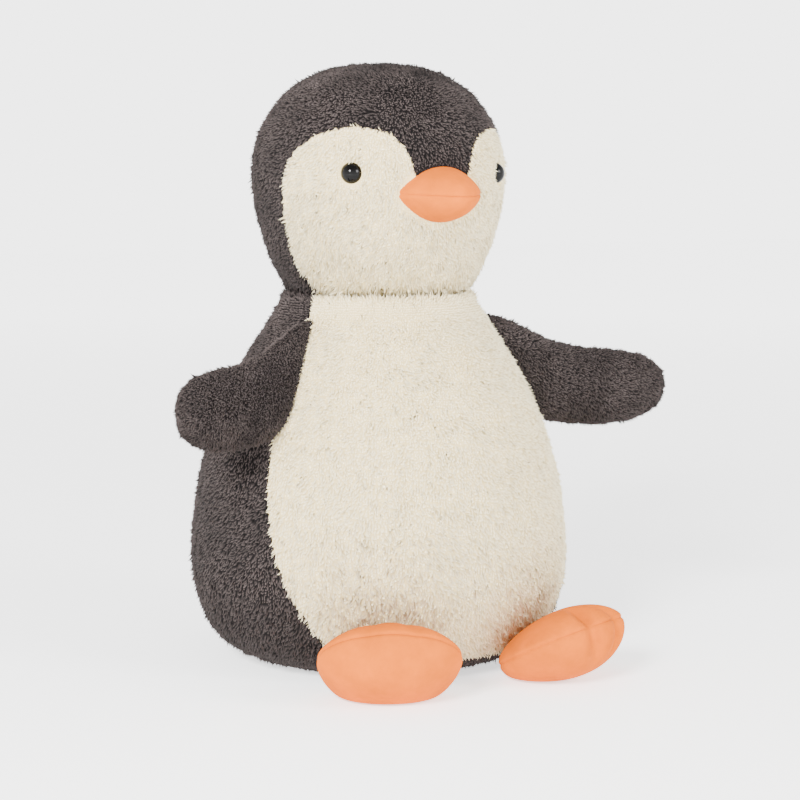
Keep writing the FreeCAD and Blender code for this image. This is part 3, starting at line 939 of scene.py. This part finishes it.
class PENGUIN_OT_feet(bpy.types.Operator):
    """Make both feet, each of an upper and a sole sewn round the edge"""
    bl_idname = "penguin.feet"
    bl_label = "Feet"

    def execute(self, context):
        form = context.scene.penguin_form

        def held(point):
            angle = math.degrees(math.atan2(point.x, -point.y))
            off = min(abs(angle - toe) for toe in TOES)
            valley = math.exp(-(off / 5.0) ** 2) if point.y < -14.0 else 0.0
            return min(1.0, math.exp(-(point.z / 1.8) ** 2) + valley)

        for side, sign in SIDES:
            splay, lift, furrow = FOOT_SET[side]
            shape = stuff(foot_form(furrow), held, form.pressure, 1.6, 1)
            for v in shape.verts:
                v.co -= Vector((v.co.x, v.co.y, 0.0)).normalized() * 0.8 * math.exp(-v.co.z ** 2)
            turn = (Matrix.Rotation(sign * math.radians(splay), 4, "Z")
                    @ Matrix.Translation((0.0, -131.0, 24.0))
                    @ Matrix.Rotation(math.radians(-lift), 4, "X"))
            for label, wanted in (("upper", lambda p: p.z >= 0.0), ("sole", lambda p: p.z < 0.0)):
                piece = panel("foot_%s_%s" % (label, side), shape, wanted)
                set_down(piece, turn, 0.3)
                finish_piece(piece, "suede", "foot_" + side,
                             "foot_%s_panel_%s" % (label, side))
            fill = inset_copy(shape, 1.4, "foot_fill_" + side)
            set_down(fill, turn, 1.5)
            finish_piece(fill, "fill", "foot_" + side,
                         "foot_stuffing_" + side)
            shape.free()
        return {"FINISHED"}


# ---- carried-over nodes ----------------------------------------------------------------------

class PENGUIN_OT_inside(bpy.types.Operator):
    """Give the stuffing, bean pouch and washers that stay from the frame their materials"""
    bl_idname = "penguin.inside"
    bl_label = "Inside"

    def execute(self, context):
        finishes = {"neck_plug": "fill", "bean_pouch": "pouch",
                    "eye_washer_left": "washer", "eye_washer_right": "washer"}
        for name, finish in finishes.items():
            holder = frame["nodes"][name]
            for part in [holder, *holder.children_recursive]:
                if part.type == "MESH":
                    for slot in part.material_slots:
                        slot.material = MATERIALS[finish]
                    if not part.material_slots:
                        part.data.materials.append(MATERIALS[finish])
        return {"FINISHED"}


# ---- stage -----------------------------------------------------------------------------------

CAMERA_TURN, CAMERA_AWAY, CAMERA_HEIGHT = -30.0, 1.213, 0.277  # degrees, metres


def lamp(name, place, target, width, power):
    """A round white lamp, whose place, target and width are in metres and power in watts."""
    data = bpy.data.lights.new(name, "AREA")
    data.shape = "DISK"
    data.size = width
    data.energy = power
    lamp_object = bpy.data.objects.new(name, data)
    bpy.context.scene.collection.objects.link(lamp_object)
    lamp_object.location = place
    way = Vector(target) - Vector(place)
    lamp_object.rotation_euler = way.to_track_quat("-Z", "Y").to_euler()


class PENGUIN_OT_stage(bpy.types.Operator):
    """Make the floor, the soft lights and the camera"""
    bl_idname = "penguin.stage"
    bl_label = "Stage"

    def execute(self, context):
        bm = bmesh.new()
        bmesh.ops.create_grid(bm, x_segments=8, y_segments=8, size=6000.0)
        floor = place_mesh("floor", bm)
        # painted light: the paper glows as a light table does, and more so far off, where it meets
        # the room
        paper, tree, surface = new_material("glowing_white_paper", Roughness=0.9,
                                            Specular_IOR_Level=0.1,
                                            Emission_Color=hex_colour("FFFFFF"))
        where = node(tree, "ShaderNodeTexCoord")
        away = node(tree, "ShaderNodeVectorMath", {0: where.outputs["Object"]},
                    operation="LENGTH")
        glow = node(tree, "ShaderNodeMapRange", {"Value": away.outputs["Value"]})
        for socket, value in (("From Min", 0.4), ("From Max", 3.0), ("To Min", 1.25),
                              ("To Max", 2.5)):
            glow.inputs[socket].default_value = value
        tree.links.new(glow.outputs["Result"], surface.inputs["Emission Strength"])
        grain = node(tree, "ShaderNodeTexNoise", {"Vector": where.outputs["Object"]}, Scale=3.0)
        ramp = node(tree, "ShaderNodeValToRGB", {"Fac": grain.outputs["Fac"]})
        ramp.color_ramp.elements[0].color = hex_colour("F6F6F6")
        ramp.color_ramp.elements[1].color = hex_colour("FAFAFA")
        tree.links.new(ramp.outputs["Color"], surface.inputs["Base Color"])
        floor.data.materials.append(paper)

        world = bpy.data.worlds.new("soft_room")
        context.scene.world = world
        world.use_nodes = True
        # a studio: bright paper all round, less light from above
        tree = world.node_tree
        sky = tree.nodes["Background"]
        sky.inputs["Color"].default_value = (1.0, 1.0, 1.0, 1.0)
        way = node(tree, "ShaderNodeTexCoord")
        height = node(tree, "ShaderNodeSeparateXYZ", {"Vector": way.outputs["Generated"]})
        level = node(tree, "ShaderNodeMapRange", {"Value": height.outputs["Z"]})
        for socket, value in (("From Min", 0.08), ("From Max", 0.75), ("To Min", 4.2),
                              ("To Max", 1.0)):
            level.inputs[socket].default_value = value
        tree.links.new(level.outputs["Result"], sky.inputs["Strength"])

        lamp("key_light", (-1.5, -1.15, 1.05), (0.0, 0.0, 0.17), 0.6, 100.0)
        lamp("fill_light", (0.9, -1.7, 0.9), (0.0, 0.0, 0.17), 0.9, 42.0)
        lamp("catch_light", (-1.5, -1.5, 1.1), (0.0, 0.0, 0.27), 0.16, 12.0)

        turn = math.radians(CAMERA_TURN)
        back = Vector((math.sin(turn), -math.cos(turn), 0.0)) * CAMERA_AWAY
        right = Vector((math.cos(turn), math.sin(turn), 0.0))
        place = back + Vector((0.0, 0.0, CAMERA_HEIGHT))
        target = right * 0.0125 + Vector((0.0, 0.0, 0.147))
        data = bpy.data.cameras.new("camera")
        data.lens = 94.5
        data.sensor_width = 36.0
        data.clip_start = 0.01
        camera = bpy.data.objects.new("camera", data)
        context.scene.collection.objects.link(camera)
        camera.location = place
        camera.rotation_euler = (target - place).to_track_quat("-Z", "Y").to_euler()
        context.scene.camera = camera
        return {"FINISHED"}


# ---- panel, registration, run ----------------------------------------------------------------

STEPS = (PENGUIN_OT_stage, PENGUIN_OT_body, PENGUIN_OT_head, PENGUIN_OT_eyes, PENGUIN_OT_beak,
         PENGUIN_OT_wings, PENGUIN_OT_feet, PENGUIN_OT_inside)
GROUPS = (PenguinForm, PenguinPile, PenguinColours)


class PENGUIN_PT_panel(bpy.types.Panel):
    """The penguin's settings and pieces"""
    bl_idname = "PENGUIN_PT_panel"
    bl_label = "Plush Penguin"
    bl_space_type = "VIEW_3D"
    bl_region_type = "UI"
    bl_category = "Penguin"

    def draw(self, context):
        scene = context.scene
        for settings in (scene.penguin_form, scene.penguin_pile, scene.penguin_colours):
            box = self.layout.box()
            for key in settings.__annotations__:
                box.prop(settings, key)
        for step in STEPS:
            self.layout.operator(step.bl_idname)


def register():
    for cls in (*GROUPS, *STEPS, PENGUIN_PT_panel):
        bpy.utils.register_class(cls)
    bpy.types.Scene.penguin_form = bpy.props.PointerProperty(type=PenguinForm)
    bpy.types.Scene.penguin_pile = bpy.props.PointerProperty(type=PenguinPile)
    bpy.types.Scene.penguin_colours = bpy.props.PointerProperty(type=PenguinColours)


def unregister():
    del bpy.types.Scene.penguin_form
    del bpy.types.Scene.penguin_pile
    del bpy.types.Scene.penguin_colours
    for cls in reversed((*GROUPS, *STEPS, PENGUIN_PT_panel)):
        bpy.utils.unregister_class(cls)


def main():
    register()
    MATERIALS.update(make_materials(bpy.context.scene.penguin_colours))
    for step in STEPS:
        group, name = step.bl_idname.split(".")
        if getattr(getattr(bpy.ops, group), name)() != {"FINISHED"}:
            raise RuntimeError(step.bl_label + " was not made")


if __name__ == "__main__":
    main()
